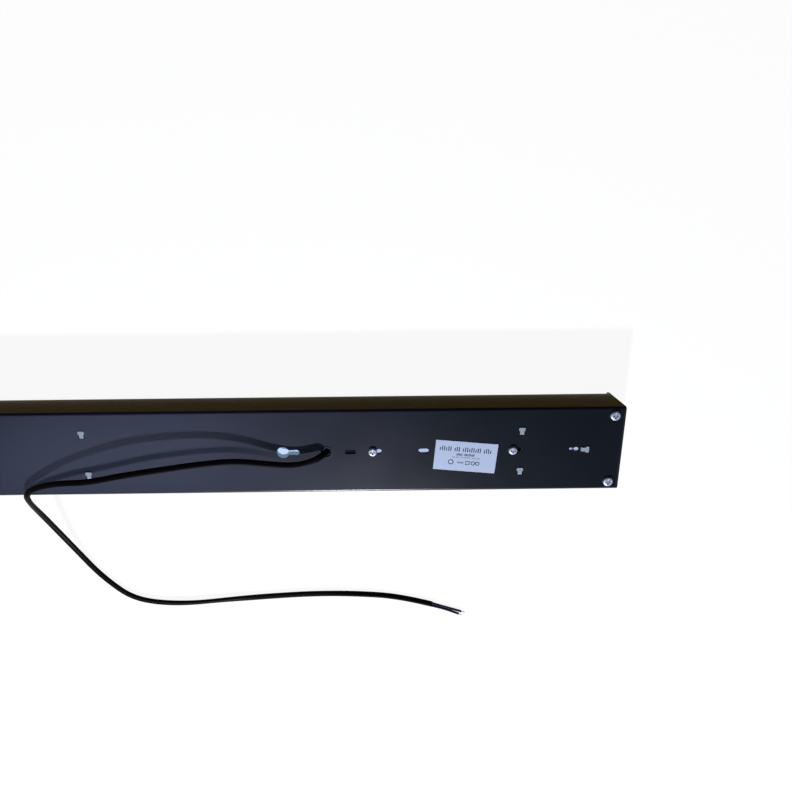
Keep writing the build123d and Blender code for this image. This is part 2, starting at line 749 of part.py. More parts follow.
def cord_clamp():
    """Saddle that grips the sheath below the tray, hooked up into the clamp window."""
    middle = wire_height()
    radius = cord_diameter / 2
    top = tray_underside
    low = middle - radius - clamp_base
    body = block((clamp_length, clamp_width, top - low), (clamp_x - clamp_length / 2, -clamp_width / 2, low))
    body = fillet(body.edges().filter_by(Axis.X).group_by(Axis.Z)[0], 2.0)
    hook_length = clamp_window_length - 2 * clamp_window_fit
    hook_width = clamp_window_width - 2 * clamp_window_fit
    body += block((hook_length, hook_width, tray_sheet), (clamp_x - hook_length / 2, -hook_width / 2, top))
    return body - Pos(clamp_x, 0, middle) * Rot(0, 90, 0) * Cylinder(radius, clamp_length + 2 * cut_margin)


def output_leads():
    """Two cores from the driver's output terminal down through the carrier to the feed connector."""
    mouth = driver_body_span()[1]
    level = board_underside - connector_size[2] / 2
    leads = []
    for side in (1, -1):
        y = side * terminal_pitch / 2
        hole_y = lead_hole_y + side * lead_spread / 2
        x = lead_hole_x - side * lead_stagger / 2
        leads.append(bent_tube([(mouth - wire_insertion, y, wire_height()), (mouth + lead_straight, y, wire_height()),
                                (x, hole_y, wire_height() - lead_dive), (x, hole_y, level),
                                (x, board_width / 2, level)],
                               lead_diameter, "output lead"))
    return leads


# ---------------------------------------------------------------- cord
def loose_cores():
    """Stripped cores beyond the sheath, one beside and a little above the other."""
    end = Vector(*cord_route[-1])
    heading = (end - Vector(*cord_route[-2])).normalized()
    across = Vector(-heading.Y, heading.X, 0)
    above = heading.cross(across)
    cores, tips = [], []
    rest = core_diameter / 2 + floor_gap
    for sign, length in zip((1, -1), core_lengths):
        side, rise = sign * core_side, sign * core_rise
        start = end + across * side + above * rise
        middle = end + heading * (length / 2) + across * (side + sign * core_belly)
        middle = Vector(middle.X, middle.Y, rest + (core_rise if sign > 0 else core_rise / 2))
        tip = end + heading * length + across * (core_swerve + sign * core_fan)
        tip = Vector(tip.X, tip.Y, rest)
        cores.append(bent_tube([start, start + heading * core_straight, middle, tip], core_diameter, "loose core"))
        out = (tip - middle).normalized()
        tips.append(Plane(origin=tip, z_dir=out) * Pos(0, 0, strand_length / 2)
                    * Cylinder(strand_diameter / 2, strand_length))
    return cores, tips


def rating_label():
    outline = RectangleRounded(label_length, label_width, label_corner)
    return (Pos(half_length - label_from_end, label_side_shift, plate_top) * Rot(0, 0, label_tilt)
            * extrude(outline, label_thickness))


# ---------------------------------------------------------------- the fitting
def screws(sizes, places, seat, up=1):
    return [pan_screw(sizes, x, y, seat, up) for x, y in places]


def main():
    os.makedirs("parts", exist_ok=True)
    save("rear_channel", rear_channel())
    cap = end_cap()
    save("end_cap_right", cap)
    save("end_cap_left", mirror(cap, about=Plane.YZ))
    corners = [(x, y) for x in (cap_screw_x, -cap_screw_x) for y in (cap_screw_y, -cap_screw_y)]
    save("end_cap_screws", screws(cap_screw, corners, plate_top))
    save("gear_tray", gear_tray())
    save("led_carrier", led_carrier())
    carrier_places = [(x, y) for x in carrier_screw_stations() for y in (carrier_screw_row, -carrier_screw_row)]
    save("carrier_screws", screws(carrier_screw, carrier_places, carrier_underside, up=-1))
    for number, start in enumerate(board_starts(), 1):
        save(f"led_board_{number}", led_board(start))
    save("led_chips", led_chips())
    save("board_rivets", board_rivets())
    save("board_connectors", board_connectors())
    save("diffuser", diffuser())
    save("driver_case", driver_case())
    save("driver_cover", driver_cover())
    board, posts = driver_board()
    save("driver_board", [board])
    save("driver_board_posts", posts)
    save("driver_transformer", driver_transformer())
    save("driver_capacitors", driver_capacitors())
    save("driver_choke", driver_choke())
    save("driver_input_terminal", driver_terminal(True))
    save("driver_output_terminal", driver_terminal(False))
    save("driver_screws", screws(driver_screw, [(x, 0.0) for x in driver_screw_x], plate_top))
    nut_top = tray_underside - driver_ear_thickness
    save("driver_nuts", [hex_nut(nut_across_flats, nut_height, driver_screw[2] + 2 * thread_fit, x, 0.0, nut_top)
                         for x in driver_screw_x])
    save("cable_grommet", cable_grommet())
    save("cord_clamp", cord_clamp())
    save("inner_cord", bent_tube(inner_cord_points(), cord_diameter, "inner cord"))
    save("inner_cores", inner_cores())
    save("output_leads", output_leads())
    save("rating_label", rating_label())
    save("mains_cord", bent_tube(cord_route, cord_diameter, "mains cord"))
    cores, tips = loose_cores()
    save("cord_cores", cores)
    save("core_tips", tips)


main()
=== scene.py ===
# %% [markdown]
# # A black linear LED fitting, seen from behind
#
# The real object is a 1.2 m ceiling fitting: a folded, powder coated steel channel with
# moulded end caps, lying on its light-emitting front. Its steel back shows keyholes, slots,
# zinc plated screws, small lugs of the inner tray, a rating label and the mains cord.
# Its hard parts come ready as a frame of solids. This lesson adds their finishes, the flexible
# cord, the print on the label, finer screws, the light and a camera.

# %% Load the frame
import math

import bmesh
import bpy
from mathutils import Matrix, Vector


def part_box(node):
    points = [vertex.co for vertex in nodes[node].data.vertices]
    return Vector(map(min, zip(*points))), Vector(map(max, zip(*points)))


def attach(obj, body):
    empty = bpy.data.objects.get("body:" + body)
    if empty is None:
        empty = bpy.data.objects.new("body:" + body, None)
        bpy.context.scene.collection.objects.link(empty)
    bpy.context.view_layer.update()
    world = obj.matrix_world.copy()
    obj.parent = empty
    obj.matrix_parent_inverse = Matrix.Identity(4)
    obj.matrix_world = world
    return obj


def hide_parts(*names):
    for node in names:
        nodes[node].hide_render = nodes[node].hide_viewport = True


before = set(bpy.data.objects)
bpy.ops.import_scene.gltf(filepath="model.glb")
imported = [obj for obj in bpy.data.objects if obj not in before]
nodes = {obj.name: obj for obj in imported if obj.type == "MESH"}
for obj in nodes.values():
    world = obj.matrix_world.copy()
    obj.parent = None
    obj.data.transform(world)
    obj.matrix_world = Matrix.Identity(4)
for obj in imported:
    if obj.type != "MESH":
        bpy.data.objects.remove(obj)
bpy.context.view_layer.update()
mm = 0.001
print("pieces in the frame:", len(nodes))

# %% [markdown]
# The camera is set up first, because the free cord has to stay where it can be seen. It is a
# wide lens held half a metre above the back, a little beyond the far long edge. Its three
# directions are written as vectors, which is exact and needs no juggling with angles.

# %% Camera
camera_place = Vector((0.39439, 0.2026, 0.51134))
looking = Vector((0.00479, -0.3065, -0.95186)).normalized()
camera_right = looking.cross(Vector((0.01127, 0.95183, -0.30643))).normalized()
camera_data = bpy.data.cameras.new("camera")
camera_data.sensor_width = 36
camera_data.lens = 25.587
camera = bpy.data.objects.new("camera", camera_data)
bpy.context.scene.collection.objects.link(camera)
camera_turn = Matrix((camera_right, camera_right.cross(looking), -looking)).transposed()
camera.matrix_world = Matrix.Translation(camera_place) @ camera_turn.to_4x4()
bpy.context.scene.camera = camera
print("camera height in mm:", round(camera_place.z / mm))

# %% [markdown]
# Colours are written as the hex values a designer would read off a paint chart. Blender
# mixes light in linear values, so one small function turns each hex value into those.

# %% Turn hex colours to linear


def linear(hex_colour):
    """An sRGB hex value such as "#C8CDEB" as linear red, green, blue and full alpha."""
    values = [int(hex_colour[i:i + 2], 16) / 255 for i in (1, 3, 5)]
    lit = [v / 12.92 if v <= 0.04045 else ((v + 0.055) / 1.055) ** 2.4 for v in values]
    return (*lit, 1.0)


print("mid grey in linear light:", round(linear("#808080")[0], 3))

# %% [markdown]
# A material is a small network of nodes. Two helpers keep each network short to read: one adds
# a node, sets it up and wires its inputs, and one starts a material with its main shader.

# %% Helpers for materials


def add_node(owner, kind, settings=None, **inputs):
    """Add a node. Inputs are values, or other nodes' output sockets. _0 is the first input."""
    node = owner.node_tree.nodes.new(kind)
    for name, value in (settings or {}).items():
        setattr(node, name, value)
    for name, value in inputs.items():
        socket = node.inputs[int(name[1:]) if name[0] == "_" else name.replace("_", " ")]
        if isinstance(value, bpy.types.NodeSocket):
            owner.node_tree.links.new(value, socket)
        else:
            socket.default_value = value
    return node


def start_material(name, **shader_values):
    """A new material, its shader, and the object's own coordinates in metres."""
    material = bpy.data.materials.new(name)
    material.use_nodes = True
    shader = material.node_tree.nodes["Principled BSDF"]
    for key, value in shader_values.items():
        shader.inputs[key.replace("_", " ")].default_value = value
    place = add_node(material, "ShaderNodeTexCoord").outputs["Object"]
    return material, shader, place


def mix_colours(owner, factor, first, second):
    """Blend two colours, each a hex value or another node's output."""
    first, second = (linear(c) if isinstance(c, str) else c for c in (first, second))
    return add_node(owner, "ShaderNodeMix", {"data_type": "RGBA"}, Factor=factor,
                    _6=first, _7=second).outputs[2]


# %% [markdown]
# The channel is steel with a semi-gloss black powder coat. The powder is sprayed on dry and
# melted in an oven, and as it flows it keeps a soft dimpled skin, the "orange peel", a little
# over a millimetre from dimple to dimple, over a finer satin grain. Two noise textures at those
# real sizes drive the bump. The back is drawn paler at the far end and deeper towards the
# driver end by a ramp along X. This is a painted sheen: colour that stands in for the lamps'
# glare as it fades along the back.

# %% Black powder coat
peel_pitch = 1.4 * mm
grain_pitch = 0.35 * mm
cloud_size = 45 * mm
painted_sheen_fades_from = 0.21
painted_sheen_gone_at = 0.50
satin_spread = 0.03


def powder_coat(name, paint, painted_sheen, roughness):
    material, shader, place = start_material(name, IOR=1.5)
    peel = add_node(material, "ShaderNodeTexNoise", Vector=place, Scale=1 / peel_pitch, Detail=1.0)
    grain = add_node(material, "ShaderNodeTexNoise", Vector=place, Scale=1 / grain_pitch)
    cloud = add_node(material, "ShaderNodeTexNoise", Vector=place, Scale=1 / cloud_size, Detail=3.0)
    along = add_node(material, "ShaderNodeSeparateXYZ", Vector=place).outputs["X"]
    # film is the painted sheen: 1 at the far end, falling to 0 towards the driver end.
    film = add_node(material, "ShaderNodeMapRange", {"interpolation_type": "SMOOTHSTEP"}, Value=along,
                    From_Min=painted_sheen_fades_from, From_Max=painted_sheen_gone_at, To_Min=1.0, To_Max=0.0)
    patches = add_node(material, "ShaderNodeMapRange", Value=cloud.outputs["Fac"],
                       From_Min=0.3, From_Max=0.7, To_Min=0.8, To_Max=1.0)
    amount = add_node(material, "ShaderNodeMath", {"operation": "MULTIPLY"},
                      _0=film.outputs["Result"], _1=patches.outputs["Result"])
    tone = mix_colours(material, amount.outputs[0], paint, painted_sheen)
    material.node_tree.links.new(tone, shader.inputs["Base Color"])
    satin = add_node(material, "ShaderNodeMapRange", Value=cloud.outputs["Fac"],
                     To_Min=roughness - satin_spread, To_Max=roughness + satin_spread)
    material.node_tree.links.new(satin.outputs["Result"], shader.inputs["Roughness"])
    fine = add_node(material, "ShaderNodeBump", Height=grain.outputs["Fac"], Strength=0.12,
                    Distance=0.02 * mm)
    dimples = add_node(material, "ShaderNodeBump", Height=peel.outputs["Fac"], Strength=0.25,
                       Distance=0.05 * mm, Normal=fine.outputs["Normal"])
    material.node_tree.links.new(dimples.outputs["Normal"], shader.inputs["Normal"])
    return material


# The second tone, #272B38, is the painted sheen laid over the black at the far end.
black_powder_coat = powder_coat("black_powder_coat_on_steel", "#0B121A", "#272B38", 0.3)
print("made", black_powder_coat.name)

# %% [markdown]
# Most other finishes differ only in what they are made of and how grainy that is: moulded
# plastics, rubber, coated or plated steel. One recipe serves them: a base colour that
# drifts between two near tones, and a bump at the real size of the grain.

# %% One recipe for moulded, coated and plated surfaces


def grained_finish(name, colours, grain, depth, roughness, **shader_values):
    """A surface whose colour drifts between two tones over a grain of a real size."""
    material, shader, place = start_material(name, Roughness=roughness, **shader_values)
    texture = add_node(material, "ShaderNodeTexNoise", Vector=place, Scale=1 / grain)
    drift = add_node(material, "ShaderNodeTexNoise", Vector=place, Scale=1 / (grain * 12))
    tone = mix_colours(material, drift.outputs["Fac"], *colours)
    material.node_tree.links.new(tone, shader.inputs["Base Color"])
    bump = add_node(material, "ShaderNodeBump", Height=texture.outputs["Fac"], Strength=0.3,
                    Distance=depth)
    material.node_tree.links.new(bump.outputs["Normal"], shader.inputs["Normal"])
    return material


def dress(material, *node_names):
    """Give solids of the frame this material."""
    for node_name in node_names:
        slots = nodes[node_name].data.materials
        slots.clear()
        slots.append(material)
    print(material.name, "on", ", ".join(node_names))


dress(black_powder_coat, "rear_channel")

# %% [markdown]
# The end caps are injection moulded ABS. The mould is spark eroded, which leaves an even,
# fine texture about half a millimetre coarse, so the black looks soft and slightly grey where
# light grazes it. The grommet is softer and duller: moulded black rubber.

# %% Black mouldings
black_abs = grained_finish("moulded_black_abs", ("#0A0B0D", "#111316"), 0.5 * mm, 0.02 * mm,
                           0.45, IOR=1.53)
black_rubber = grained_finish("moulded_black_rubber", ("#14110F", "#1C1815"), 0.4 * mm, 0.02 * mm,
                              0.55, IOR=1.52)
dress(black_abs, "end_cap_right", "end_cap_left")
dress(black_rubber, "cable_grommet")

# %% [markdown]
# The gear tray and the LED carrier are steel with a white coil coat, a thin polyester film
# rolled on before the sheet is cut. It shines white through the openings. The lugs that are
# pressed out of the tray and folded down outside have cracked and rubbed coats, and look like
# bare galvanized steel. They are the only part of the tray above the rear plate, so a height
# test on the object's own Z picks them out. The web behind the keyholes is given a faint
# glow: a painted light of a given strength, which lightens the shade at the edge of each pocket.

# %% White coil coat, with bare lugs
plate_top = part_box("rear_channel")[1][2]
coil_coat = grained_finish("white_coil_coated_steel", ("#DCE3F4", "#E6EBF8"), 0.9 * mm, 0.01 * mm,
                           0.38, IOR=1.5)
tray_coat, tray_shader, tray_place = start_material("coil_coat_worn_to_zinc", Roughness=0.42)
tray_height = add_node(tray_coat, "ShaderNodeSeparateXYZ", Vector=tray_place).outputs["Z"]
outside = add_node(tray_coat, "ShaderNodeMath", {"operation": "GREATER_THAN"}, _0=tray_height,
                   _1=plate_top + 0.02 * mm).outputs[0]
spangle = add_node(tray_coat, "ShaderNodeTexNoise", Vector=tray_place, Scale=1 / (1.5 * mm))
white_coat = mix_colours(tray_coat, spangle.outputs["Fac"], "#BBCCE2", "#C4D3E8")
rubbed_zinc = mix_colours(tray_coat, spangle.outputs["Fac"], "#86969C", "#A9B7B8")
tray_tone = mix_colours(tray_coat, outside, white_coat, rubbed_zinc)
tray_coat.node_tree.links.new(tray_tone, tray_shader.inputs["Base Color"])
keyhole_from_middle = 297.5 * mm
keyhole_reach = 17 * mm
pocket_glow = 0.25
along_tray = add_node(tray_coat, "ShaderNodeSeparateXYZ", Vector=tray_place).outputs["X"]
from_middle = add_node(tray_coat, "ShaderNodeMath", {"operation": "ABSOLUTE"}, _0=along_tray)
at_keyhole = add_node(tray_coat, "ShaderNodeMath", {"operation": "COMPARE"},
                      _0=from_middle.outputs[0], _1=keyhole_from_middle,
                      _2=keyhole_reach).outputs[0]
painted_pocket_light = add_node(tray_coat, "ShaderNodeMath", {"operation": "MULTIPLY"}, _0=at_keyhole,
                   _1=pocket_glow).outputs[0]
# The pale blue glow at the keyholes is painted light, which lifts the shade in each pocket.
tray_shader.inputs["Emission Color"].default_value = linear("#B3D9F9")
tray_coat.node_tree.links.new(painted_pocket_light, tray_shader.inputs["Emission Strength"])
tray_bump = add_node(tray_coat, "ShaderNodeBump", Height=spangle.outputs["Fac"], Strength=0.3,
                     Distance=0.02 * mm)
tray_coat.node_tree.links.new(tray_bump.outputs["Normal"], tray_shader.inputs["Normal"])
dress(tray_coat, "gear_tray")
dress(coil_coat, "led_carrier")

# %% [markdown]
# Screws and nuts are steel with bright zinc plating, which takes a faint blue cast from its
# passivating bath. It is a metal, but it is mixed here about half and half with a plain
# colour, so that small heads stay bright under only two lamps.

# %% Zinc plate
zinc_plate = grained_finish("bright_zinc_plated_steel", ("#B4BDCB", "#D2D8E2"), 0.4 * mm,
                            0.01 * mm, 0.48, Metallic=0.55)
dress(zinc_plate, "carrier_screws", "driver_nuts")

# %% [markdown]
# The front lens is an extruded opal polycarbonate: white pigment scatters the light inside it,
# so it glows evenly and hides the LEDs. A little transmission over a white base gives that.

# %% Opal lens and the light source behind it
opal = grained_finish("opal_polycarbonate", ("#E9ECEF", "#F4F5F6"), 1.0 * mm, 0.01 * mm, 0.32,
                      IOR=1.585, Transmission_Weight=0.2)
solder_mask = grained_finish("white_solder_mask", ("#E8EAE6", "#F2F3F0"), 0.3 * mm, 0.01 * mm,
                             0.35, IOR=1.55)
phosphor_gel = grained_finish("yellow_phosphor_gel", ("#E2C24B", "#EDD36A"), 0.2 * mm, 0.01 * mm,
                              0.25, IOR=1.45)
white_nylon = grained_finish("moulded_white_nylon", ("#DFE0DC", "#ECEDE9"), 0.3 * mm, 0.01 * mm,
                             0.45, IOR=1.53)
dress(opal, "diffuser")
dress(solder_mask, "led_board_1", "led_board_2", "led_board_3", "led_board_4")
dress(phosphor_gel, "led_chips")
dress(white_nylon, "board_rivets", "board_connectors", "driver_input_terminal",
      "driver_output_terminal")

# %% [markdown]
# The driver sits in a moulded polycarbonate box. Inside are a glass-epoxy board under green
# solder mask, wound parts on dark fired ferrite, and capacitors in shrunk sleeves.

# %% Driver finishes
white_pc = grained_finish("moulded_white_polycarbonate", ("#D9DBDA", "#E6E7E6"), 0.6 * mm,
                          0.02 * mm, 0.42, IOR=1.585)
green_mask = grained_finish("green_solder_mask", ("#1F5A34", "#2B6B40"), 0.3 * mm, 0.01 * mm,
                            0.3, IOR=1.55)
ferrite = grained_finish("fired_ferrite", ("#242427", "#343438"), 0.5 * mm, 0.02 * mm, 0.5)
sleeve = grained_finish("shrink_sleeve", ("#1C2A4C", "#26365C"), 0.8 * mm, 0.01 * mm, 0.3)
dress(white_pc, "driver_case", "driver_cover", "driver_board_posts")
dress(green_mask, "driver_board")
dress(ferrite, "driver_transformer", "driver_choke")
dress(sleeve, "driver_capacitors")

# %% [markdown]
# Cords and leads are extruded PVC. The sheath of the mains cord is a soft, nearly matt black
# grade, and the small clamp that holds it is moulded from the same. Inside the sheath one core
# is brown and one is blue. The driver's output leads are red.

# %% Extruded PVC and tinned copper
black_pvc = grained_finish("extruded_black_pvc", ("#0B0A0A", "#110F0E"), 0.6 * mm, 0.02 * mm,
                           0.45, IOR=1.53, Specular_IOR_Level=0.05)
brown_pvc = grained_finish("extruded_brown_pvc", ("#2A1420", "#341A26"), 0.4 * mm, 0.01 * mm,
                           0.5, IOR=1.53, Specular_IOR_Level=0.1)
blue_pvc = grained_finish("extruded_blue_pvc", ("#141A38", "#1C2448"), 0.4 * mm, 0.01 * mm,
                          0.5, IOR=1.53, Specular_IOR_Level=0.1)
red_pvc = grained_finish("extruded_red_pvc", ("#A8201C", "#B82C24"), 0.4 * mm, 0.01 * mm,
                         0.4, IOR=1.53)
tinned_copper = grained_finish("tinned_copper_strands", ("#C9C4BC", "#DAD6D0"), 0.15 * mm,
                               0.01 * mm, 0.3, Metallic=1.0)
dress(black_pvc, "inner_cord", "cord_clamp")
dress(brown_pvc, "inner_cores")
dress(red_pvc, "output_leads")
dress(tinned_copper, "core_tips")

# %% [markdown]
# The rating label is a white polyester film with a satin top coat. It has almost no grain, so
# its bump is only a few thousandths of a millimetre deep.

# %% Label film
label_film = grained_finish("white_polyester_film", ("#BBC8DC", "#C2CFE2"), 0.5 * mm,
                            0.005 * mm, 0.42)
dress(label_film, "rating_label")

# %% [markdown]
# The mains cord is a flat two-core cord in a black sheath, 5.8 mm wide and 3.6 mm thick. It
# leaves the grommet, makes a long low hump over the back, crosses the edge and lies in a lazy
# curve on the table. A smooth NURBS line of order 3 follows the route's control points, in
# millimetres. Blender turns that line into points for the sheath to follow.

# %% The cord's line
route = [
    (333.7, 0.0, 44.2), (329.2, -1.8, 51.2), (320.5, -6.0, 52.6), (305.0, -9.4, 53.0),
    (283.0, -6.8, 54.6), (255.0, -1.9, 57.8), (224.0, -3.2, 61.2), (191.0, -7.1, 63.1),
    (157.0, -12.0, 63.6), (124.0, -19.2, 61.9), (99.0, -21.7, 57.4), (80.0, -26.0, 53.2),
    (65.5, -31.4, 50.8), (60.3, -36.9, 50.2), (59.1, -43.9, 47.1), (56.6, -53.0, 39.8),
    (55.3, -69.5, 28.0), (57.1, -93.4, 15.0), (67.5, -125.6, 5.0), (79.7, -148.8, 2.4),
    (94.4, -166.6, 2.4), (111.8, -182.7, 2.4), (135.8, -190.5, 2.4), (171.8, -192.5, 2.4),
    (214.8, -188.2, 2.4), (261.8, -184.4, 2.4), (309.9, -181.9, 2.4), (356.0, -182.9, 2.4),
    (400.1, -187.3, 2.4), (433.7, -197.6, 2.4),
]


def smooth_line(points):
    """Points along a NURBS line of order 3 whose control points are given in millimetres."""
    curve = bpy.data.curves.new("line", "CURVE")
    curve.dimensions = "3D"
    spline = curve.splines.new("NURBS")
    spline.points.add(len(points) - 1)
    for control, point in zip(spline.points, points):
        control.co = (*(value * mm for value in point), 1.0)
    spline.order_u = 3
    spline.use_endpoint_u = True
    spline.resolution_u = 16
    carrier = bpy.data.objects.new("line", curve)
    bpy.context.scene.collection.objects.link(carrier)
    bpy.context.view_layer.update()
    line = [vertex.co.copy() for vertex in bpy.data.meshes.new_from_object(carrier).vertices]
    bpy.data.objects.remove(carrier)
    return line


cord_line = smooth_line(route)

# %% [markdown]
# A sheath is its section swept along that line. The section of a flat cord is two half rounds
# joined by flats. A flat cord never lies quite flat: it leans and twists a little as it goes.
# So the sweep keeps the section level at first, and then rolls it by an angle that changes
# along the cord.

# %% Sweep a section along a line


def swept_tube(name, line, section, roll_at=None):
    """A closed tube. The section is (across, upward) offsets, rolled by roll_at(distance)."""
    tube = bmesh.new()
    rings, distance = [], 0.0
    for index, point in enumerate(line):
        before, after = line[max(index - 1, 0)], line[min(index + 1, len(line) - 1)]
        heading = (after - before).normalized()
        distance += (point - before).length
        across = Vector((0, 0, 1)).cross(heading).normalized()
        upward = heading.cross(across)
        if roll_at:
            across = Matrix.Rotation(roll_at(distance), 3, heading) @ across
            upward = heading.cross(across)
        rings.append([tube.verts.new(point + across * a + upward * u) for a, u in section])
    for ring, following in zip(rings, rings[1:]):
        for side in range(len(section)):
            nxt = (side + 1) % len(section)
            tube.faces.new((ring[side], ring[nxt], following[nxt], following[side]))
    tube.faces.new(reversed(rings[0]))
    tube.faces.new(rings[-1])
    return finished_mesh(name, tube)


def finished_mesh(name, made):
    """Turn a bmesh into a mesh whose side faces are shaded smooth up to a clear edge."""
    bmesh.ops.recalc_face_normals(made, faces=made.faces)
    mesh = bpy.data.meshes.new(name)
    made.to_mesh(mesh)
    made.free()
    mesh.shade_smooth()
    mesh.set_sharp_from_angle(angle=math.radians(38))
    return mesh


def add_piece(name, mesh, material):
    """Put a mesh into the scene as a piece that rides on the fitting."""
    piece = bpy.data.objects.new(name, mesh)
    bpy.context.scene.collection.objects.link(piece)
    mesh.materials.append(material)
    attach(piece, "root")
    print(name, "has", len(mesh.polygons), "faces")
    return piece


# %% The flat cord's sheath
cord_width = 5.8 * mm
cord_thickness = 3.6 * mm
section_points = 24
rolls = [(0, 10), (60, 25), (260, 25), (330, 0), (490, 6), (545, 28), (600, -12), (660, -16),
         (710, -36), (800, -32)]


def flat_section(width, thickness):
    """Two half rounds whose centres lie apart, with straight flats between."""
    section = []
    for step in range(section_points):
        angle = 2 * math.pi * (step + 0.5) / section_points
        shift = math.copysign((width - thickness) / 2, math.cos(angle))
        section.append((shift + thickness / 2 * math.cos(angle), thickness / 2 * math.sin(angle)))
    return section


def cord_roll(distance):
    """The roll in radians at a distance along the cord, eased between the listed ones."""
    for (start, first), (end, last) in zip(rolls, rolls[1:]):
        if distance / mm <= end:
            share = (distance / mm - start) / (end - start)
            share = share * share * (3 - 2 * share)
            return math.radians(first + (last - first) * share)
    return math.radians(rolls[-1][1])


sheath = add_piece("mains_cord_sheath", swept_tube(
    "mains_cord_sheath", cord_line, flat_section(cord_width, cord_thickness), cord_roll),
    black_pvc)
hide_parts("mains_cord")

# %% [markdown]
# At the free end the sheath is stripped, and a brown and a blue core lie bare, each with a few
# millimetres of twisted, tinned strands. They come out side by side, along the wide way of
# the cord, and sink to the table.

# %% The two bare cores
core_radius = 1.25 * mm
core_section = [(core_radius * math.cos(turn), core_radius * math.sin(turn))
                for turn in [2 * math.pi * step / 16 for step in range(16)]]
brown_core_line = smooth_line([(433.6, -196.6, 1.9), (439.7, -198.9, 1.9), (451.0, -202.9, 1.7),
                               (465.2, -208.2, 1.25)])
blue_core_line = smooth_line([(433.3, -198.9, 3.1), (439.0, -200.6, 3.1), (449.6, -204.8, 2.1),
                              (462.5, -211.2, 1.25)])
cores = [
    add_piece("brown_core", swept_tube("brown_core", brown_core_line, core_section), brown_pvc),
    add_piece("blue_core", swept_tube("blue_core", blue_core_line, core_section), blue_pvc),
]
for core in cores:
    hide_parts("cord_cores")

# %% [markdown]
# Pan head screws: a low rounded head with a cross recess. The head is a polar grid. Each point's
# height is the head's rounded profile, less the depth of the recess there, so the recess gets
# sloping walls as the punch leaves them. Their places come from the solids they replace.

# %% Pan head screws
head_rings = 24
head_spokes = 72
rim_share = 0.35
recess_half_width = 0.2
recess_half_span = 0.66
recess_depth = 0.6
cap_head_radius = 4.4 * mm


def cross_depth(x, y, radius, height):
    """Depth of the cross recess at a point of the head: the deeper of its two slots."""
    half_width, half_span = recess_half_width * radius, recess_half_span * radius
    depth = 0.0
    for along, over in ((abs(x), abs(y)), (abs(y), abs(x))):
        wall = min(1.0, (half_width - over) / (0.35 * half_width))
        ramp = min(1.0, (half_span - along) / (0.45 * half_span))
        if wall > 0 and ramp > 0:
            depth = max(depth, recess_depth * height * wall * ramp)
    return depth


def pan_head_screw(made, x, y, seat, radius, height, shank_radius, shank_length):
    """Add a screw whose head seats at a height. Sizes and places are in metres."""
    rim = rim_share * height
    rings = []
    for ring in range(1, head_rings + 1):
        share = ring / head_rings
        points = []
        for spoke in range(head_spokes):
            turn = 2 * math.pi * spoke / head_spokes
            px, py = radius * share * math.cos(turn), radius * share * math.sin(turn)
            top = rim + (height - rim) * math.sqrt(max(0.0, 1 - share ** 4))
            points.append((px, py, top - cross_depth(px, py, radius, height)))
        rings.append(points)
    turns = [2 * math.pi * spoke / head_spokes for spoke in range(head_spokes)]
    for size, level in ((radius, 0.0), (shank_radius, 0.0), (shank_radius, -0.85 * shank_length),
                        (0.25 * shank_radius, -shank_length)):
        rings.append([(size * math.cos(turn), size * math.sin(turn), level) for turn in turns])
    rows = [[made.verts.new((x + px, y + py, seat + pz)) for px, py, pz in points]
            for points in rings]
    middle = made.verts.new((x, y, seat + height - cross_depth(0, 0, radius, height)))
    for spoke in range(head_spokes):
        nxt = (spoke + 1) % head_spokes
        made.faces.new((middle, rows[0][spoke], rows[0][nxt]))
        for inner, outer in zip(rows, rows[1:]):
            made.faces.new((inner[spoke], outer[spoke], outer[nxt], inner[nxt]))
    made.faces.new(reversed(rows[-1]))


def replace_screws(node_name, head_radius, head_height, shank_radius, shank_length, rows):
    """Stand finer screws where the node's screws are: at both ends of its box, on each row."""
    low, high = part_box(node_name)
    made = bmesh.new()
    for x in (low[0] + head_radius, high[0] - head_radius):
        for y in rows:
            pan_head_screw(made, x, y, high[2] - head_height, head_radius, head_height,
                           shank_radius, shank_length)
    piece = add_piece("fine_" + node_name, finished_mesh("fine_" + node_name, made), zinc_plate)
    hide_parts(node_name)


cap_screw_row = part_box("end_cap_screws")[1][1] - cap_head_radius
replace_screws("end_cap_screws", cap_head_radius, 2.3 * mm, 1.95 * mm, 11.0 * mm,
               (cap_screw_row, -cap_screw_row))
replace_screws("driver_screws", 3.9 * mm, 2.4 * mm, 2.0 * mm, 9.0 * mm, (0.0,))

# %% [markdown]
# The label carries print in dark ink. On this model it is plain: rows of short upright strokes
# stand for lines of type, and simple shapes stand for marks. All of it is ink a fiftieth of a
# millimetre proud of the film, laid out from the label's top left corner.

# %% Print on the label
label_middle = Vector((458.9 * mm, -5.9 * mm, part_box("rating_label")[1][2]))
label_length, label_width = 56.2, 28.5
label_turn = Matrix.Rotation(math.radians(-5.5), 4, "Z")
ink_height = 0.02 * mm
print_mesh = bmesh.new()


def ink_block(right, down, width, height, turn=0.0):
    """A block of ink: its middle in mm from the label's corner, its size and its own turn."""
    place = (Matrix.Translation(label_middle) @ label_turn
             @ Matrix.Translation(((right - label_length / 2) * mm, (label_width / 2 - down) * mm,
                                   ink_height / 2))
             @ Matrix.Rotation(turn, 4, "Z")
             @ Matrix.Diagonal((width * mm, height * mm, ink_height, 1)))
    bmesh.ops.create_cube(print_mesh, size=1.0, matrix=place)


def stroke_row(start, down, height, pitch, stroke, words):
    """A row of upright strokes in groups, with a gap of one stroke after each group."""
    right = start
    for count in words:
        for index in range(count):
            tall = height * (1.0 if index % 3 else 0.72)
            ink_block(right, down + (height - tall) / 2, stroke, tall)
            right += pitch
        right += pitch


def ring(right, down, radius, stroke, sides=20):
    """A ring of short ink blocks set end to end."""
    for side in range(sides):
        turn = 2 * math.pi * side / sides
        ink_block(right + radius * math.cos(turn), down + radius * math.sin(turn), stroke,
                  2.2 * math.pi * radius / sides, -turn)


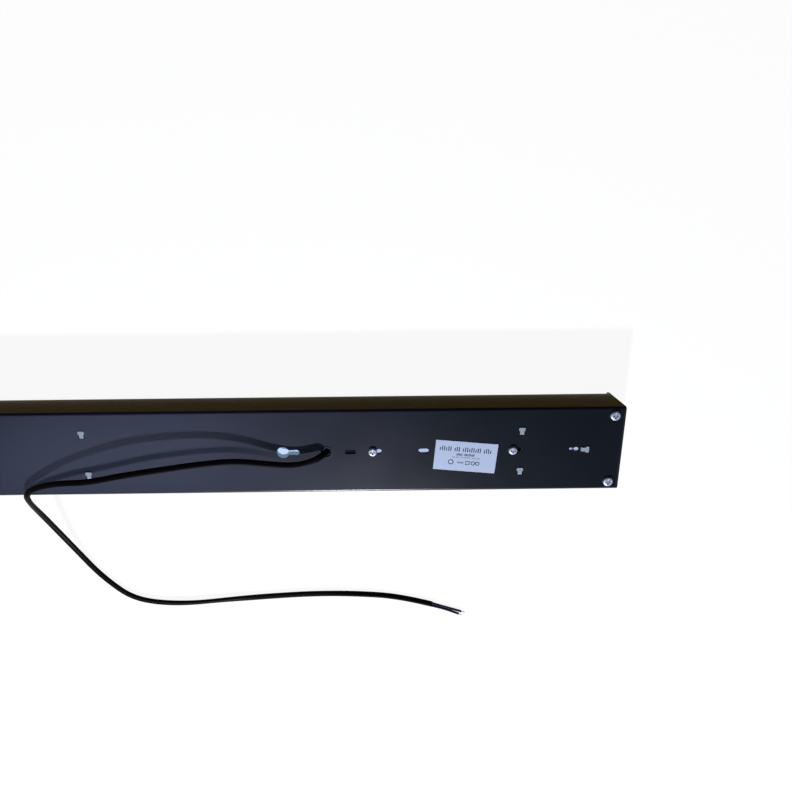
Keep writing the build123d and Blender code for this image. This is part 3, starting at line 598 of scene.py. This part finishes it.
stroke_row(4.6, 7.4, 4.4, 1.9, 0.9, (6, 3, 9, 4))
stroke_row(20.2, 12.4, 2.4, 1.1, 0.7, (5, 9))
stroke_row(16.0, 15.2, 1.2, 1.0, 0.4, (7, 9, 8))
ring(15.4, 20.2, 2.1, 0.8)
stroke_row(21.6, 20.2, 1.8, 1.0, 0.6, (6,))
for side in (-1, 1):
    ink_block(30.6 + side * 1.6, 20.2, 0.6, 3.8)
    ink_block(30.6, 20.2 + side * 1.6, 3.8, 0.6)
for right in (35.6, 39.6):
    ring(right, 20.2, 1.6, 0.7, 14)
printing_ink = grained_finish("dark_printing_ink", ("#1C2030", "#282D40"), 0.3 * mm, 0.002 * mm,
                              0.5)
add_piece("label_print", finished_mesh("label_print", print_mesh), printing_ink)

# %% [markdown]
# Two lamps light the back. A hard window lamp comes in low from the near long side, and throws
# the cord's upper shadow. A dim, long strip hangs almost where the paint mirrors it to the
# camera, so it draws the broad sheen and the cord's second, lower shadow. The world adds a
# weak even light.

# %% Lamps


def lamp(name, place, aim, shape, sizes, power, colour):
    """An area lamp in metres and watts that faces a point."""
    data = bpy.data.lights.new(name, "AREA")
    data.shape = shape
    data.size, data.size_y = sizes
    data.energy = power
    data.color = linear(colour)[:3]
    made = bpy.data.objects.new(name, data)
    bpy.context.scene.collection.objects.link(made)
    made.location = place
    made.rotation_euler = (Vector(place) - Vector(aim)).to_track_quat("Z", "Y").to_euler()
    print(name, "at", [round(v, 2) for v in place], "with", power, "W")


lamp("window_lamp", (0.229, -1.363, 1.055), (0.33, 0.0, 0.045), "DISK", (0.06, 0.06), 42, "#ECF0FF")
lamp("strip_lamp", (-0.60, -0.60, 1.44), (-0.60, -0.60, 0.0), "RECTANGLE", (0.9, 0.12), 2.1,
     "#C8D2FF")

# %% [markdown]
# The room is white to the camera, and to a mirror near the horizon. A mirror sees it dim
# overhead. The light that it sheds on surfaces is weak, so the lamps keep their shadows.

# %% Room
ambient = 0.1
white_up_to = 0.05
dim_from = 0.2
room = bpy.data.worlds.new("room")
bpy.context.scene.world = room
room.use_nodes = True


def seen_or_mirrored(owner):
    """One output that is 1 for the camera's rays, and one that is 1 for mirrored rays."""
    rays = add_node(owner, "ShaderNodeLightPath")
    mirrored = add_node(owner, "ShaderNodeMath", {"operation": "MAXIMUM"},
                        _0=rays.outputs["Is Glossy Ray"], _1=rays.outputs["Is Transmission Ray"])
    return rays.outputs["Is Camera Ray"], mirrored.outputs[0]


by_camera, by_mirror = seen_or_mirrored(room)
direction = add_node(room, "ShaderNodeTexCoord").outputs["Generated"]
rise = add_node(room, "ShaderNodeSeparateXYZ", Vector=direction).outputs["Z"]
near_horizon = add_node(room, "ShaderNodeMapRange", Value=rise, From_Min=white_up_to,
                        From_Max=dim_from, To_Min=1.0, To_Max=0.0).outputs["Result"]
mirrored_wall = add_node(room, "ShaderNodeMath", {"operation": "MULTIPLY"}, _0=by_mirror,
                         _1=near_horizon).outputs[0]
white_share = add_node(room, "ShaderNodeMath", {"operation": "MAXIMUM"}, _0=by_camera,
                       _1=mirrored_wall).outputs[0]
room_strength = add_node(room, "ShaderNodeMapRange", Value=white_share, To_Min=ambient,
                         To_Max=1.0).outputs["Result"]
backdrop = room.node_tree.nodes["Background"]
room.node_tree.links.new(mix_colours(room, white_share, "#C8D2FF", "#FFFFFF"),
                         backdrop.inputs["Color"])
room.node_tree.links.new(room_strength, backdrop.inputs["Strength"])
print("ambient strength:", ambient)

# %% [markdown]
# The floor is a board that glows for the camera and for mirrored rays, so that it shows white.
# Its own colour under that glow is a mid grey, so it takes only a faint shadow. Behind the
# fitting lies a card with a dim olive light of its own, and a black screen stands. Both are
# seen in gloss only, and set what the far side mirrors.

# %% Floor, dark card and black screen
floor_reach = 12.0
floor_level = -0.2 * mm
floor_glow = 0.93
card_near_edge = 0.042
card_far_edge = 0.6
card_half_length = 0.75
screen_half_length = 1.5
screen_height = 0.6


def level_sheet(name, low, high, level, material):
    """A flat rectangle for the stage, between two (x, y) corners."""
    mesh = bpy.data.meshes.new(name)
    mesh.from_pydata([(low[0], low[1], level), (high[0], low[1], level),
                      (high[0], high[1], level), (low[0], high[1], level)], [], [(0, 1, 2, 3)])
    mesh.materials.append(material)
    made = bpy.data.objects.new(name, mesh)
    bpy.context.scene.collection.objects.link(made)
    return made


pale_board, board_shader, _ = start_material("pale_board", Roughness=0.8)
board_shader.inputs["Base Color"].default_value = linear("#4C4C4B")
board_shader.inputs["Emission Color"].default_value = (1.0, 1.0, 1.0, 1.0)
seen, mirrored = seen_or_mirrored(pale_board)
lit = add_node(pale_board, "ShaderNodeMath", {"operation": "MAXIMUM"}, _0=seen, _1=mirrored)
glow = add_node(pale_board, "ShaderNodeMath", {"operation": "MULTIPLY"}, _0=lit.outputs[0],
                _1=floor_glow)
pale_board.node_tree.links.new(glow.outputs[0], board_shader.inputs["Emission Strength"])
level_sheet("floor", (-floor_reach, -floor_reach), (floor_reach, floor_reach), floor_level,
            pale_board)

# The card and the screen make a painted reflection: the far side mirrors the card's olive glow and
# the screen's black.
card_paint, card_shader, _ = start_material("dark_card", Roughness=1.0)
card_shader.inputs["Base Color"].default_value = linear("#000000")
card_shader.inputs["Emission Color"].default_value = linear("#5D4E27")
card_shader.inputs["Emission Strength"].default_value = 1.0
screen_paint, screen_shader, _ = start_material("black_screen", Roughness=1.0)
screen_shader.inputs["Base Color"].default_value = linear("#000000")
screen_shader.inputs["Specular IOR Level"].default_value = 0.0
card = level_sheet("dark_card", (-card_half_length, card_near_edge),
                   (card_half_length, card_far_edge), 0.0, card_paint)
screen = level_sheet("black_screen", (-screen_half_length, 0.0),
                     (screen_half_length, screen_height), 0.0, screen_paint)
screen.location = (0.0, card_far_edge, 0.0)
screen.rotation_euler = (math.radians(90), 0.0, 0.0)
for sheet in (card, screen):
    sheet.visible_camera = False
    sheet.visible_diffuse = False
    sheet.visible_shadow = False
    sheet.visible_transmission = False
print("staged:", "floor, dark card and black screen")

# %% Finish
bpy.context.scene.view_settings.view_transform = "Standard"
bpy.context.view_layer.update()
